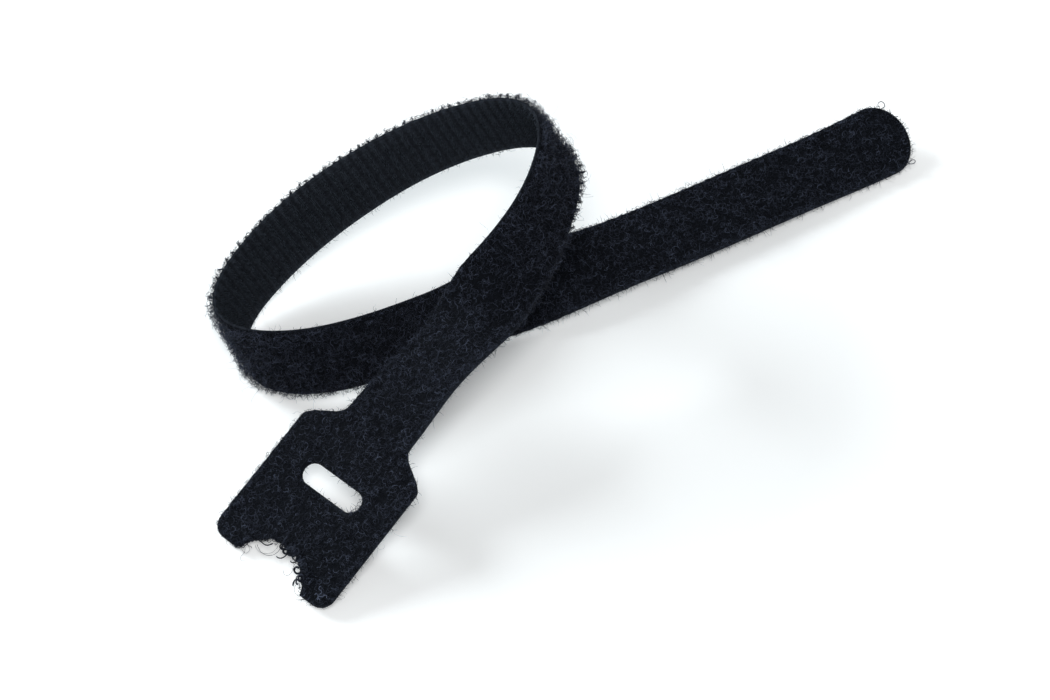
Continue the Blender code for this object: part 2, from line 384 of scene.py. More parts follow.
def base_cloth(material):
    """The woven base: two faces, the cut edges between them, and a lighter selvedge."""
    rows = cloth_rows()
    s = np.array([row[0] for row in rows])
    v = np.array([row[1] for row in rows])
    count, width = s.shape
    height = cloth_height(s, v)
    points = np.concatenate([lay.place(s, v, height), lay.place(s, v, -height)]).reshape(-1, 3)
    to_bare_side = half_width(s) + v
    selvedge = np.clip(2 - 2 * to_bare_side / SELVEDGE, 0.0, 1.0) * (s > SHOULDER_START)
    rim = cloth_rim(s, v)
    pile_tone = PILE_FACE_TONE + PILE_FACE_SELVEDGE * selvedge
    pile_tone = pile_tone + np.where(v > 0, *PILE_FACE_RIMS) * rim
    hook_tone = HOOK_FACE_TONE + HOOK_FACE_SELVEDGE * selvedge
    hook_tone = hook_tone - np.where(v > 0, *HOOK_FACE_RIMS) * rim
    tones = np.concatenate([pile_tone.ravel(), hook_tone.ravel()])
    side_cells = (width - 1 - MIDDLE_CELLS) // 2
    cells = []
    for i in range(count - 1):
        for j in range(width - 1):
            opening = rows[i + 1][2] and side_cells <= j < side_cells + MIDDLE_CELLS
            if not opening:
                a = i * width + j
                cells.append((a, a + width, a + width + 1, a + 1))
    lower = count * width
    edges = {(a, b) for cell in cells for a, b in zip(cell, cell[1:] + cell[:1])}
    faces = list(cells)
    faces += [tuple(lower + a for a in reversed(cell)) for cell in cells]
    faces += [(b, a, lower + a, lower + b) for a, b in sorted(edges) if (b, a) not in edges]
    used = np.unique(np.array(faces))
    renumber = np.full(len(points), -1)
    renumber[used] = np.arange(len(used))
    faces = renumber[np.array(faces)]
    piece = mesh_piece("base_cloth", points[used], faces, material, tones[used])
    flat = piece.data.uv_layers.new(name="pattern")
    corner = np.empty(len(piece.data.loops), np.int32)
    piece.data.loops.foreach_get("vertex_index", corner)
    source = used[corner] % lower
    uv = np.stack([s.ravel()[source], v.ravel()[source]], 1) * UV_PER_METRE
    flat.data.foreach_set("uv", uv.astype(np.float32).ravel())
    return piece


# Filaments: curled threads grown from places on the pattern
BEND_OPENS_AT = 100.0
LOWEST = 0.06 * MM
FILAMENT_END = 0.45
# Painted shade on the filaments: the share of tone kept at the root, and the most that height
# lifts it
PAINTED_SHADE_AT_ROOT = 0.35
PAINTED_SHADE_RISE_LIMIT = 1.2
REFERENCE_SHIFT = 0.01
FIRST_FLIP = 2
# Length in mm, heading and shift of each wave
CLUMP_WAVES = ((3.1, 0.4, 0.0), (4.3, 1.9, 2.0), (2.3, 2.7, 4.0), (6.1, 1.2, 1.0))


def opening(s):
    """How far a bend spreads the pile on its outside, from 0 on a straight run to 1."""
    return np.clip(np.interp(s, lay.places, lay.bends) / BEND_OPENS_AT, 0.0, 1.0)


def clumps(s, v):
    """Slow change of tone over the cloth, about 0 to 1, from a few crossing waves."""
    waves = 0.0
    for length, heading, shift in CLUMP_WAVES:
        along = s * math.cos(heading) + v * math.sin(heading)
        waves = waves + np.sin(2 * math.pi * along / (length * MM) + shift)
    return 0.5 + waves / (2 * len(CLUMP_WAVES))


def spin(vectors, axes, angles):
    """Vectors turned about unit axes."""
    cos = np.cos(angles)[:, None]
    sin = np.sin(angles)[:, None]
    part = (vectors * axes).sum(1, keepdims=True)
    return vectors * cos + np.cross(axes, vectors) * sin + axes * part * (1 - cos)


def grow(s, v, root, heading, rise, tilt, turns, length, low, high, wander):
    """Paths of curled filaments from pattern places.

    Each starts at height root and sets off at a heading in the pattern's plane and a rise out
    of it. It turns by turns[:, k] at step k, about an axis tilted from the outward direction.
    Returns the paths, one side vector for each, and their heights above the middle surface.
    """
    middle, axes = lay.frames(s)
    along, across, outward = axes[:, 0], axes[:, 1], axes[:, 2]
    level = np.cos(heading)[:, None] * along + np.sin(heading)[:, None] * across
    side = np.cross(outward, level)
    direction = np.cos(rise)[:, None] * level + np.sin(rise)[:, None] * outward
    axis = np.cos(tilt)[:, None] * outward + np.sin(tilt)[:, None] * side
    steps = turns.shape[1]
    point = middle + v[:, None] * across + root[:, None] * outward
    paths = [point]
    heights = [root]
    for k in range(steps):
        direction = spin(direction, axis, turns[:, k])
        direction = direction + random.normal(0, wander, direction.shape)
        direction /= np.linalg.norm(direction, axis=1, keepdims=True)
        point = point + (length / steps)[:, None] * direction
        height = ((point - middle) * outward).sum(1)
        held = np.clip(height, low, high)
        point = point + (held - height)[:, None] * outward
        paths.append(point)
        heights.append(held)
    return np.stack(paths, 1), side, np.stack(heights, 1)


def within(s, grown, reach):
    """Which filaments stay over the pattern, or pass its edges by no more than reach."""
    middle, axes = lay.frames(s)
    away = grown[0] - middle[:, None]
    along = (away * axes[:, None, 0]).sum(2)
    across = (away * axes[:, None, 1]).sum(2)
    return (edge_distance(s[:, None] + along, across) > -reach).all(1)


def on_row(s):
    """1 on the rows of the weave, and 0 halfway between them."""
    return 0.5 - 0.5 * np.cos(2 * math.pi * s / HOOK_ROW_PITCH)


def curls(count, steps, least, most, flips):
    """Turns for each step of many curls, some of which reverse on the way."""
    total = np.radians(random.uniform(least, most, count)) * random.choice([-1.0, 1.0], count)
    turns = np.repeat((total / steps)[:, None], steps, axis=1)
    flip_at = random.integers(FIRST_FLIP, steps, count)
    reversed_part = np.arange(steps)[None] >= flip_at[:, None]
    flipped = reversed_part & (random.random(count) < flips)[:, None]
    return np.where(flipped, -turns, turns)


def above_floor(paths):
    paths[..., 2] = np.maximum(paths[..., 2], LOWEST)
    return paths


def filament_piece(name, grown, radius, tones, material, sides=TUBE_SIDES):
    """Tapered tubes along grown paths, with painted shade that darkens them towards their roots.
    """
    paths, side, heights = grown
    paths = above_floor(paths)
    steps = paths.shape[1]
    radii = np.repeat(np.broadcast_to(radius, len(paths))[:, None], steps, axis=1).copy()
    radii[:, -1] *= FILAMENT_END
    points, faces = tubes(paths, radii, (side + REFERENCE_SHIFT)[:, None], sides)
    # Painted shade: darker low by the cloth, lighter the higher the filament rises
    risen = np.clip(heights / CURL_TOP, 0.0, PAINTED_SHADE_RISE_LIMIT)
    shade = tones[:, None] * (PAINTED_SHADE_AT_ROOT + (1 - PAINTED_SHADE_AT_ROOT) * risen)
    mesh_piece(name, points, faces, material, np.repeat(shade.ravel(), sides))


# Loop pile: a tangle of curls over the whole outer face, closest together along the sides
CURL_DENSITY = 4.4
SIDE_CURL_DENSITY = 5.0
SIDE_BAND = 0.9 * MM
CURL_STEPS = 5
CURL_LENGTH = (1.1 * MM, 2.4 * MM)
CURL_RADIUS = (0.025 * MM, 0.041 * MM)
CURL_ROOT = 0.55 * MM
CURL_RISE = (12, 25)
CURL_RISE_IN_BEND = 1.1
CURL_TILT = (-55, 55)
CURL_TURN = (150.0, 390.0)
CURL_FLIPS = 0.2
CURL_WANDER = 0.16
CURL_TOP = 1.2 * MM
CURL_TOP_SPREAD = (0.75, 1.15)
CURL_TOP_BY_SIDE = 0.6
CURL_TOP_IN_BEND = 0.3
CURL_DARKEST = 0.06
CURL_TONE_POWER = 1.5
CLUMP_TONES = (0.88, 0.18)
CURL_INSET = 0.03 * MM
LEFT_REACH = 0.14 * MM
RIGHT_REACH = 0.35 * MM
SMALLER = 0.5
PILE_PARTS = (
    ("pile_head", 0.0, 50.0 * MM),
    ("pile_right", 50.0 * MM, 112.0 * MM),
    ("pile_left", 112.0 * MM, 168.0 * MM),
    ("pile_front", 168.0 * MM, 222.0 * MM),
    ("pile_tail", 222.0 * MM, LENGTH),
)


def pile_places(start, end):
    s, v = scatter(CURL_DENSITY, start, end, CURL_INSET)
    s_side, v_side = scatter(SIDE_CURL_DENSITY, start, end, CURL_INSET)
    along_side = half_width(s_side) - np.abs(v_side) < SIDE_BAND
    return np.concatenate([s, s_side[along_side]]), np.concatenate([v, v_side[along_side]])


def curl_top(s, v):
    """How high the tangle reaches: less between the rows along the sides, more in a bend."""
    by_side = half_width(s) - np.abs(v) < SIDE_BAND
    rowed = CURL_TOP_BY_SIDE + (1 - CURL_TOP_BY_SIDE) * on_row(s)
    share = np.where(by_side, rowed, 1.0)
    return CURL_TOP * np.maximum(share, opening(s)) * (1 + CURL_TOP_IN_BEND * opening(s))


def loop_pile(material):
    for name, start, end in PILE_PARTS:
        s, v = pile_places(start, end)
        count = len(s)
        grown = grow(
            s, v,
            root=cloth_height(s, v) + random.uniform(0.0, CURL_ROOT, count),
            heading=random.uniform(0, 2 * math.pi, count),
            rise=np.radians(random.normal(*CURL_RISE, count)) + CURL_RISE_IN_BEND * opening(s),
            tilt=np.radians(random.uniform(*CURL_TILT, count)),
            turns=curls(count, CURL_STEPS, *CURL_TURN, CURL_FLIPS),
            length=random.uniform(*CURL_LENGTH, count),
            low=cloth_height(s, v),
            high=curl_top(s, v) * random.uniform(*CURL_TOP_SPREAD, count),
            wander=CURL_WANDER,
        )
        lightness = random.uniform(0, 1, count) ** CURL_TONE_POWER
        tones = CURL_DARKEST + (1 - CURL_DARKEST) * lightness
        tones = tones * (CLUMP_TONES[0] + CLUMP_TONES[1] * clumps(s, v))
        radius = random.uniform(*CURL_RADIUS, count)
        reach = np.where((v > 0) & (s < LENGTH - TAIL_TIP_REACH), LEFT_REACH, RIGHT_REACH)[:, None]
        paths, side, heights = grown
        crossing = ~within(s, grown, reach)
        root = paths[crossing][:, :1]
        paths[crossing] = root + SMALLER * (paths[crossing] - root)
        keep = within(s, grown, reach)
        grown = [part[keep] for part in grown]
        filament_piece(name, grown, radius[keep], tones[keep], material)


# Tufts: loops of the pile that stand up in the bends
TUFT_STEPS = 4
TUFT_LENGTH = (1.5 * MM, 2.9 * MM)
TUFT_RADIUS = 0.026 * MM
TUFT_TOP = 2.1 * MM
TUFT_PLACES = 27400
TUFT_CHANCE_ON_STRAIGHT = 0.02
TUFT_INSET = 0.05 * MM
TUFT_REACH = 0.5 * MM
TUFT_RISE = (50, 88)
TUFT_TURN = (90.0, 240.0)
TUFT_LONGER_IN_BEND = 0.25
TUFT_WANDER = 0.14
TUFT_LIGHTEST = 0.75
TUFT_TONE_POWER = 1.6


def pile_tufts(material):
    s = random.uniform(0, LENGTH, TUFT_PLACES)
    v = random.uniform(-1, 1, TUFT_PLACES) * half_width(s)
    chance = TUFT_CHANCE_ON_STRAIGHT + (1 - TUFT_CHANCE_ON_STRAIGHT) * opening(s)
    stands = random.random(TUFT_PLACES) < chance
    keep = stands & (edge_distance(s, v) > TUFT_INSET)
    s, v = s[keep], v[keep]
    count = len(s)
    grown = grow(
        s, v,
        root=np.full(count, BASE_THICKNESS / 2),
        heading=random.uniform(0, 2 * math.pi, count),
        rise=np.radians(random.uniform(*TUFT_RISE, count)),
        tilt=np.full(count, math.pi / 2),
        turns=np.abs(curls(count, TUFT_STEPS, *TUFT_TURN, 0.0)),
        length=random.uniform(*TUFT_LENGTH, count) * (1 + TUFT_LONGER_IN_BEND * opening(s)),
        low=BASE_THICKNESS / 2,
        high=TUFT_TOP,
        wander=TUFT_WANDER,
    )
    tones = TUFT_LIGHTEST * random.uniform(0, 1, count) ** TUFT_TONE_POWER
    keep = within(s, grown, TUFT_REACH)
    grown = [part[keep] for part in grown]
    filament_piece("pile_tufts", grown, TUFT_RADIUS, tones[keep], material)


# Spikes: bundles of pile that lean together to a point, one for each row. They stand along the
# back run's upper side and the right turn's outer side
SPIKE_RUNS = ((1.0, 86.0 * MM, 150.0 * MM), (-1.0, 56.0 * MM, 92.0 * MM))
SPIKE_THREADS = 14
SPIKE_STEPS = 3
SPIKE_ROOTS = 0.42 * MM
SPIKE_INSET = (0.05 * MM, 0.7 * MM)
SPIKE_TOP = (0.75 * MM, 1.45 * MM)
SPIKE_TOP_SPREAD = (0.7, 1.05)
SPIKE_RADIUS = 0.038 * MM
SPIKE_TIP_INSET = 0.2 * MM
SPIKE_TIP_SPREAD = 0.1 * MM
SPIKE_LEAN = 0.24 * MM
SPIKE_SWAY = 0.15 * MM
SPIKE_LIGHTEST = 0.7
SPIKE_TONE_POWER = 1.6


def edge_spikes(material):
    rows = [np.arange(start, end, HOOK_ROW_PITCH) for _, start, end in SPIKE_RUNS]
    middle = np.concatenate(rows)
    side = np.repeat([run[0] for run in SPIKE_RUNS], [len(row) for row in rows])
    tip_s = np.repeat(middle + random.normal(0, SPIKE_LEAN, len(middle)), SPIKE_THREADS)
    top = np.repeat(random.uniform(*SPIKE_TOP, len(middle)), SPIKE_THREADS)
    middle = np.repeat(middle, SPIKE_THREADS)
    side = np.repeat(side, SPIKE_THREADS)
    count = len(side)
    s = middle + random.uniform(-SPIKE_ROOTS, SPIKE_ROOTS, count)
    v = side * (half_width(s) - random.uniform(*SPIKE_INSET, count))
    keep = (edge_distance(s, v) > 0) & (half_width(s) - np.abs(v) < 2 * edge_distance(s, v))
    tip_reach = half_width(tip_s) - SPIKE_TIP_INSET
    tip_v = side * (tip_reach + random.normal(0, SPIKE_TIP_SPREAD, count))
    top = top * random.uniform(*SPIKE_TOP_SPREAD, count)
    share = np.linspace(0, 1, SPIKE_STEPS + 1)[None]
    sway = random.normal(0, SPIKE_SWAY, (count, SPIKE_STEPS + 1)) * share
    heights = BASE_THICKNESS / 2 + (top - BASE_THICKNESS / 2)[:, None] * share
    path_s = s[:, None] + (tip_s - s)[:, None] * share + sway
    path_v = v[:, None] + (tip_v - v)[:, None] * share + sway[:, ::-1]
    paths = lay.place(path_s, path_v, heights)
    across = lay.frames(s)[1][:, 1]
    tones = random.uniform(0, SPIKE_LIGHTEST, count) ** SPIKE_TONE_POWER
    grown = [part[keep] for part in (paths, across, heights)]
    filament_piece("edge_spikes", grown, SPIKE_RADIUS, tones[keep], material)


# Hooks: short bent monofilaments in rows across the inner face
HOOK_SPACING = 0.56 * MM
HOOK_FILAMENT = 0.075 * MM
HOOK_TALL = 0.72 * MM
HOOK_SUBROWS = (0.27, 0.44, 0.61)
HOOK_BARE_EDGE = 0.85 * MM
HOOK_NEAR_EDGE = 0.2 * MM
HOOK_TURNS_IN = 0.6 * MM
HOOK_FULL_FROM = 1.2 * MM
HOOK_SHORTEST = 0.4
HOOK_SPREAD = 0.035 * MM
HOOK_SUNK = 0.05 * MM
HOOK_LEAN = 0.12
HOOK_TALL_SPREAD = (0.85, 1.1)
HOOK_TONE = (0.35, 0.75)
# The hook's root, bend and tip: how far out and how high in shares of its height, its
# thickness and its tone, which is painted shade, darkest at the root by the cloth
HOOK_OUT = np.array((0.0, 0.1, 0.42))
HOOK_UP = np.array((0.0, 1.0, 0.8))
HOOK_THICKNESS = np.array((1.1, 1.0, 0.65))
HOOK_PAINTED_SHADE = np.array((0.5, 1.0, 0.8))
HOOK_PARTS = (("hooks_head_side", 0.0, 140.0 * MM), ("hooks_tail_side", 140.0 * MM, LENGTH))


def hook_rows(material):
    for name, start, end in HOOK_PARTS:
        s_places = []
        v_places = []
        for row in range(math.ceil(start / HOOK_ROW_PITCH), math.ceil(end / HOOK_ROW_PITCH)):
            for k, share in enumerate(HOOK_SUBROWS):
                s_row = (row + share) * HOOK_ROW_PITCH
                half = float(half_width(s_row))
                v_row = np.arange(HOOK_BARE_EDGE - half, half - HOOK_NEAR_EDGE, HOOK_SPACING)
                v_row = v_row + (k % 2) * HOOK_SPACING / 2
                s_places.append(np.full(len(v_row), s_row))
                v_places.append(v_row)
        s = np.concatenate(s_places)
        v = np.concatenate(v_places)
        keep = edge_distance(s, v) > HOOK_NEAR_EDGE
        s, v = s[keep], v[keep]
        count = len(s)
        s = s + random.normal(0, HOOK_SPREAD, count)
        v = v + random.normal(0, HOOK_SPREAD, count)
        middle, axes = lay.frames(s)
        root = middle + v[:, None] * axes[:, 1] - (BASE_THICKNESS / 2 - HOOK_SUNK) * axes[:, 2]
        by_edge = half_width(s) - np.abs(v) < HOOK_TURNS_IN
        side = np.where(by_edge, -np.sign(v), random.choice([-1.0, 1.0], count))
        lean = random.normal(0, HOOK_LEAN, count)
        forward = side[:, None] * axes[:, 1] + lean[:, None] * axes[:, 0]
        grown_share = np.clip(edge_distance(s, v) / HOOK_FULL_FROM, HOOK_SHORTEST, 1.0)
        tall = HOOK_TALL * grown_share * random.uniform(*HOOK_TALL_SPREAD, count)
        out = (HOOK_OUT * tall[:, None])[..., None] * forward[:, None]
        up = (HOOK_UP * tall[:, None])[..., None] * axes[:, None, 2]
        paths = above_floor(root[:, None] + out - up)
        radii = np.tile(HOOK_FILAMENT * HOOK_THICKNESS, (count, 1))
        points, faces = tubes(paths, radii, axes[:, None, 0])
        # Painted shade along each hook, darkest at its root
        tones = random.uniform(*HOOK_TONE, count)[:, None] * HOOK_PAINTED_SHADE
        mesh_piece(name, points, faces, material, np.repeat(tones.ravel(), TUBE_SIDES))


# Edge threads: the yarn that shows as a thin lighter line along each side
EDGE_THREAD = 0.045 * MM
EDGE_THREAD_SWELL = 0.25
EDGE_SWELL_WAVE = 0.9 * MM
EDGE_STEP = 0.5 * MM
EDGE_HEIGHT = 0.06 * MM
EDGE_LONG_WAVE = (0.05 * MM, 1.1 * MM)
EDGE_SHORT_WAVE = (0.04 * MM, 0.37 * MM)
EDGE_TONE = (0.1, 1.0)
EDGE_CLUMP_TONES = (0.3, 0.7)
EDGE_THREADS = (("edge_thread_left", 1.0, 0.4), ("edge_thread_right", -1.0, 0.6))


def edge_threads(material):
    for name, side, shade in EDGE_THREADS:
        s = np.arange(HEAD_CORNER_RADIUS, LENGTH - TAIL_TIP_REACH, EDGE_STEP)
        wave = EDGE_LONG_WAVE[0] * np.sin(s * 2 * math.pi / EDGE_LONG_WAVE[1])
        wave = wave + EDGE_SHORT_WAVE[0] * np.sin(s / EDGE_SHORT_WAVE[1])
        path = lay.place(s, side * (half_width(s) + wave), EDGE_HEIGHT + wave)[None]
        outward = lay.frames(s)[1][:, 2]
        swell = EDGE_THREAD_SWELL * np.sin(s * 2 * math.pi / EDGE_SWELL_WAVE)
        radii = EDGE_THREAD * (1 + swell)[None]
        points, faces = tubes(path, radii, outward[None], THREAD_SIDES)
        clumped = EDGE_CLUMP_TONES[0] + EDGE_CLUMP_TONES[1] * clumps(s, side * s)
        tones = shade * random.uniform(*EDGE_TONE, len(s)) * clumped
        mesh_piece(name, points, faces, material, np.repeat(tones, THREAD_SIDES))


# Fray: torn base yarns in the notch. Each has its start (s, v), heading, length, turn over its
# first and its second half, and thickness, in mm and degrees on the flat pattern
FRAY_YARNS = (
    (2.9, 4.3, -100, 3.2, -8, 40, 0.19),
    (2.2, 3.9, -125, 5.8, 40, 80, 0.07),
    (2.0, 4.1, -140, 5.0, 60, 60, 0.05),
    (5.0, 1.0, 140, 1.5, -60, 30, 0.24),
    (4.66, 0.37, 90, 2.7, 180, 180, 0.24),
    (4.5, 0.1, 60, 2.2, 200, 150, 0.2),
    (4.9, -0.6, 200, 2.4, 160, 190, 0.32),
    (4.5, -1.0, 230, 2.8, -150, -200, 0.34),
    (4.3, -1.3, 170, 2.2, 200, 160, 0.24),
    (4.8, -1.6, 90, 2.0, 170, 180, 0.22),
    (4.9, -2.2, 180, 2.6, 130, 210, 0.32),
    (4.7, -2.4, -130, 2.5, -35, -125, 0.2),
    (3.4, -4.6, 200, 3.6, 170, 180, 0.36),
    (3.3, -4.2, 260, 3.2, -170, -190, 0.34),
    (3.0, -4.9, 150, 3.0, 190, 170, 0.3),
    (2.6, -5.4, 120, 2.4, 160, 170, 0.2),
    (2.9, 4.9, 180, 2.4, 150, 190, 0.2),
    (2.2, 5.2, 200, 2.2, -160, -170, 0.2),
    (3.6, 4.2, 170, 2.4, 160, 190, 0.2),
    (3.4, 3.6, 190, 2.0, -180, -160, 0.18),
    (2.6, -3.0, 220, 3.0, 100, -160, 0.045),
    (3.4, -2.6, 240, 4.2, -70, -160, 0.045),
    (1.2, -5.4, 150, 3.0, 90, 120, 0.045),
    (1.0, 6.0, 190, 3.4, 80, 170, 0.045),
    (0.8, 5.2, 240, 3.0, -90, 190, 0.045),
)
FRAY_STEPS = 20
FRAY_RISE = (0, 12)
FRAY_TILT = (-25, 25)
FRAY_LOWEST = -0.1 * MM
FRAY_WANDER = 0.05
FRAY_TONE_SPREAD = (0.6, 1.0)
# Pulled loops at the tail's tip, and the pale filaments on the head's corner
TIP_LOOPS = (
    (275.4, 4.7, -37, 3.3, 170, 190, 0.14),
    (274.8, -5.2, 210, 3.6, 170, 180, 0.14),
    (275.1, -4.8, -20, 2.6, -120, -200, 0.09),
)
PALE_CURLS = (
    (1.4, -9.1, 0, 1.6, -150, 60, 0.1),
    (1.9, -9.7, -60, 1.8, 170, -160, 0.1),
    (2.3, -10.2, -100, 1.8, -160, 150, 0.1),
    (2.0, -10.9, -30, 1.5, 180, -40, 0.1),
)
# Name, yarns, the height of their roots and the height that they stay under, and tone
PLACED_YARNS = (
    ("notch_yarns", FRAY_YARNS, 0.2 * MM, 0.8 * MM, 0.12),
    ("tip_loops", TIP_LOOPS, 0.7 * MM, 1.2 * MM, 0.4),
    ("pale_curls", PALE_CURLS, 1.15 * MM, 1.35 * MM, 2.2),
)


def placed_yarns(name, rows, root, high, tone, material):
    s, v, heading, length, first_turn, second_turn, thickness = np.array(rows, float).T
    half = FRAY_STEPS // 2
    turns = np.repeat(np.stack([first_turn, second_turn], 1) / half, half, axis=1)
    count = len(s)
    grown = grow(
        s * MM, v * MM,
        root=np.full(count, root),
        heading=np.radians(heading),
        rise=np.radians(random.uniform(*FRAY_RISE, count)),
        tilt=np.radians(random.uniform(*FRAY_TILT, count)),
        turns=np.radians(turns),
        length=length * MM,
        low=FRAY_LOWEST,
        high=high,
        wander=FRAY_WANDER,
    )
    tones = tone * random.uniform(*FRAY_TONE_SPREAD, count)
    filament_piece(name, grown, thickness / 2 * MM, tones, material, YARN_SIDES)


# Places across, lengths and radii are in mm. Of two ranges the first is for the coils
NOTCH_COILS = 70
NOTCH_CURLS = 150
NOTCH_LOBE_SHARE = 0.4
NOTCH_LOBE_V = (3.6, 6.6)
NOTCH_CURL_V = (-6.4, 6.0)
NOTCH_COIL_V = (-6.0, 0.8)
NOTCH_STEPS = 9
NOTCH_START = (-0.1 * MM, 0.4 * MM)
NOTCH_ROOT = (-0.1 * MM, 0.5 * MM)
NOTCH_HEIGHTS = (-0.3 * MM, 0.9 * MM)
NOTCH_HEADING = (120, 240)
NOTCH_RISE = (5, 20)
NOTCH_TILT = (-40, 40)
NOTCH_TURN = (200.0, 430.0)
NOTCH_FLIPS = 0.25
NOTCH_WANDER = 0.1
NOTCH_LIGHTEST = 0.35
NOTCH_LENGTHS = ((1.6, 3.2), (0.8, 1.8))
NOTCH_RADII = ((0.075, 0.14), (0.03, 0.055))


def either(first_kind, first, second):
    """A random number for each filament, from the first range or from the second."""
    count = len(first_kind)
    return np.where(first_kind, random.uniform(*first, count), random.uniform(*second, count))


def notch_curls(material):
    """Thick coils of torn yarn on the notch's far side, and finer curls all along its edge."""
    count = NOTCH_COILS + NOTCH_CURLS
    coil = np.arange(count) < NOTCH_COILS
    on_lobe = random.random(count) < NOTCH_LOBE_SHARE
    fine_v = either(on_lobe, NOTCH_LOBE_V, NOTCH_CURL_V)
    v = np.where(coil, random.uniform(*NOTCH_COIL_V, count), fine_v) * MM
    s = head_end(v) + random.uniform(*NOTCH_START, count)
    grown = grow(
        s, v,
        root=random.uniform(*NOTCH_ROOT, count),
        heading=np.radians(random.uniform(*NOTCH_HEADING, count)),
        rise=np.radians(random.normal(*NOTCH_RISE, count)),
        tilt=np.radians(random.uniform(*NOTCH_TILT, count)),
        turns=curls(count, NOTCH_STEPS, *NOTCH_TURN, NOTCH_FLIPS),
        length=either(coil, *NOTCH_LENGTHS) * MM,
        low=NOTCH_HEIGHTS[0],
        high=NOTCH_HEIGHTS[1],
        wander=NOTCH_WANDER,
    )
    radius = either(coil, *NOTCH_RADII) * MM
    tones = random.uniform(0.0, NOTCH_LIGHTEST, count)
    filament_piece("notch_curls", grown, radius, tones, material, THREAD_SIDES)


# Stray hairs: long fine filaments pulled out of the pile, most of them near the edges
HAIR_COUNT = 1000
HAIR_STEPS = 6
HAIR_RADIUS = (0.01 * MM, 0.018 * MM)
HAIR_LENGTH = (1.0 * MM, 4.6 * MM)
HAIR_LENGTH_POWER = 2.2
HAIR_ROOT = (0.3 * MM, 0.8 * MM)
HAIR_RISE = (0, 75)
HAIR_TILT = (-80, 80)
HAIR_TURN = (40.0, 330.0)
HAIR_FLIPS = 0.4
HAIR_WANDER = 0.1
HAIR_TONE = (0.5, 1.0)
HAIR_TOP = 3.5 * MM
HAIR_INSET = 0.05 * MM
HAIR_EDGE_BAND = 1.0 * MM
HAIR_TRIES = 8
# The share of places that grow a hair: by the edges where v is negative and where it isn't,
# elsewhere, and what a full bend adds
HAIR_EDGE_CHANCES = (0.75, 0.2)
HAIR_CHANCE = 0.02
HAIR_CHANCE_IN_BEND = 0.5
HAIR_SLOT_BAND = 0.7


def mostly_short(lengths, power, count):
    """Random lengths between two limits, the more of them short the higher the power."""
    return lengths[0] + (lengths[1] - lengths[0]) * random.random(count) ** power


def stray_hairs(material):
    s = random.uniform(0.0, LENGTH, HAIR_COUNT * HAIR_TRIES)
    v = random.uniform(-1, 1, len(s)) * half_width(s)
    distance = edge_distance(s, v)
    in_bend = HAIR_CHANCE_IN_BEND * opening(s)
    edge_chance = np.where(v < 0, *HAIR_EDGE_CHANCES) + in_bend
    chance = np.where(distance < HAIR_EDGE_BAND, edge_chance, HAIR_CHANCE + in_bend)
    near_slot = np.abs(s - SLOT_CENTRE) < SLOT_WIDTH
    by_slot = near_slot & (np.abs(v) < SLOT_LENGTH * HAIR_SLOT_BAND)
    keep = (distance > HAIR_INSET) & ~by_slot & (random.random(len(s)) < chance)
    s, v = s[keep][:HAIR_COUNT], v[keep][:HAIR_COUNT]
    count = len(s)
    grown = grow(
        s, v,
        root=random.uniform(*HAIR_ROOT, count),
        heading=random.uniform(0, 2 * math.pi, count),
        rise=np.radians(random.uniform(*HAIR_RISE, count)),
        tilt=np.radians(random.uniform(*HAIR_TILT, count)),
        turns=curls(count, HAIR_STEPS, *HAIR_TURN, HAIR_FLIPS),
        length=mostly_short(HAIR_LENGTH, HAIR_LENGTH_POWER, count),
        low=BASE_THICKNESS / 2,
        high=HAIR_TOP,
        wander=HAIR_WANDER,
    )
    radius = random.uniform(*HAIR_RADIUS, count)
    filament_piece("stray_hairs", grown, radius, random.uniform(*HAIR_TONE, count), material)


# Edge fuzz: short fine hairs that stand out over the cut edges
FUZZ_COUNT = 2500
FUZZ_STEPS = 2
FUZZ_RADIUS = (0.018 * MM, 0.034 * MM)
FUZZ_LENGTH = (0.55 * MM, 1.8 * MM)
FUZZ_LENGTH_POWER = 2
FUZZ_BAND = 0.35 * MM
FUZZ_PROBE = 0.02 * MM
FUZZ_TRIES = 30
FUZZ_CHANCES = (1.0, 0.33)
FUZZ_ROOT = (-0.2 * MM, 0.7 * MM)
FUZZ_HEIGHTS = (-0.4 * MM, 1.5 * MM)
FUZZ_HEADING_SPREAD = 0.55
FUZZ_RISE = (5, 28)
FUZZ_TILT = (-60, 60)
FUZZ_TURN_SPREAD = 35
FUZZ_WANDER = 0.15
FUZZ_TONE = (0.1, 0.7)


def outward_heading(s, v):
    """The heading on the pattern that leads over the nearest edge."""
    fall_s = edge_distance(s - FUZZ_PROBE, v) - edge_distance(s + FUZZ_PROBE, v)
    fall_v = edge_distance(s, v - FUZZ_PROBE) - edge_distance(s, v + FUZZ_PROBE)
    return np.arctan2(fall_v, fall_s)


def edge_fuzz(material):
    s = random.uniform(0.0, LENGTH, FUZZ_COUNT * FUZZ_TRIES)
    v = random.uniform(-1, 1, len(s)) * half_width(s)
    distance = edge_distance(s, v)
    chance = np.where(v < 0, *FUZZ_CHANCES)
    in_band = (distance > FUZZ_PROBE) & (distance < FUZZ_BAND)
    keep = in_band & (random.random(len(s)) < chance)
    s, v = s[keep][:FUZZ_COUNT], v[keep][:FUZZ_COUNT]
    count = len(s)
    grown = grow(
        s, v,
        root=random.uniform(*FUZZ_ROOT, count),
        heading=outward_heading(s, v) + random.normal(0, FUZZ_HEADING_SPREAD, count),
        rise=np.radians(random.normal(*FUZZ_RISE, count)),
        tilt=np.radians(random.uniform(*FUZZ_TILT, count)),
        turns=np.radians(random.normal(0, FUZZ_TURN_SPREAD, (count, FUZZ_STEPS))),
        length=mostly_short(FUZZ_LENGTH, FUZZ_LENGTH_POWER, count),
        low=FUZZ_HEIGHTS[0],
        high=FUZZ_HEIGHTS[1],
        wander=FUZZ_WANDER,
    )
    radius = random.uniform(*FUZZ_RADIUS, count)
    filament_piece("edge_fuzz", grown, radius, random.uniform(*FUZZ_TONE, count), material)


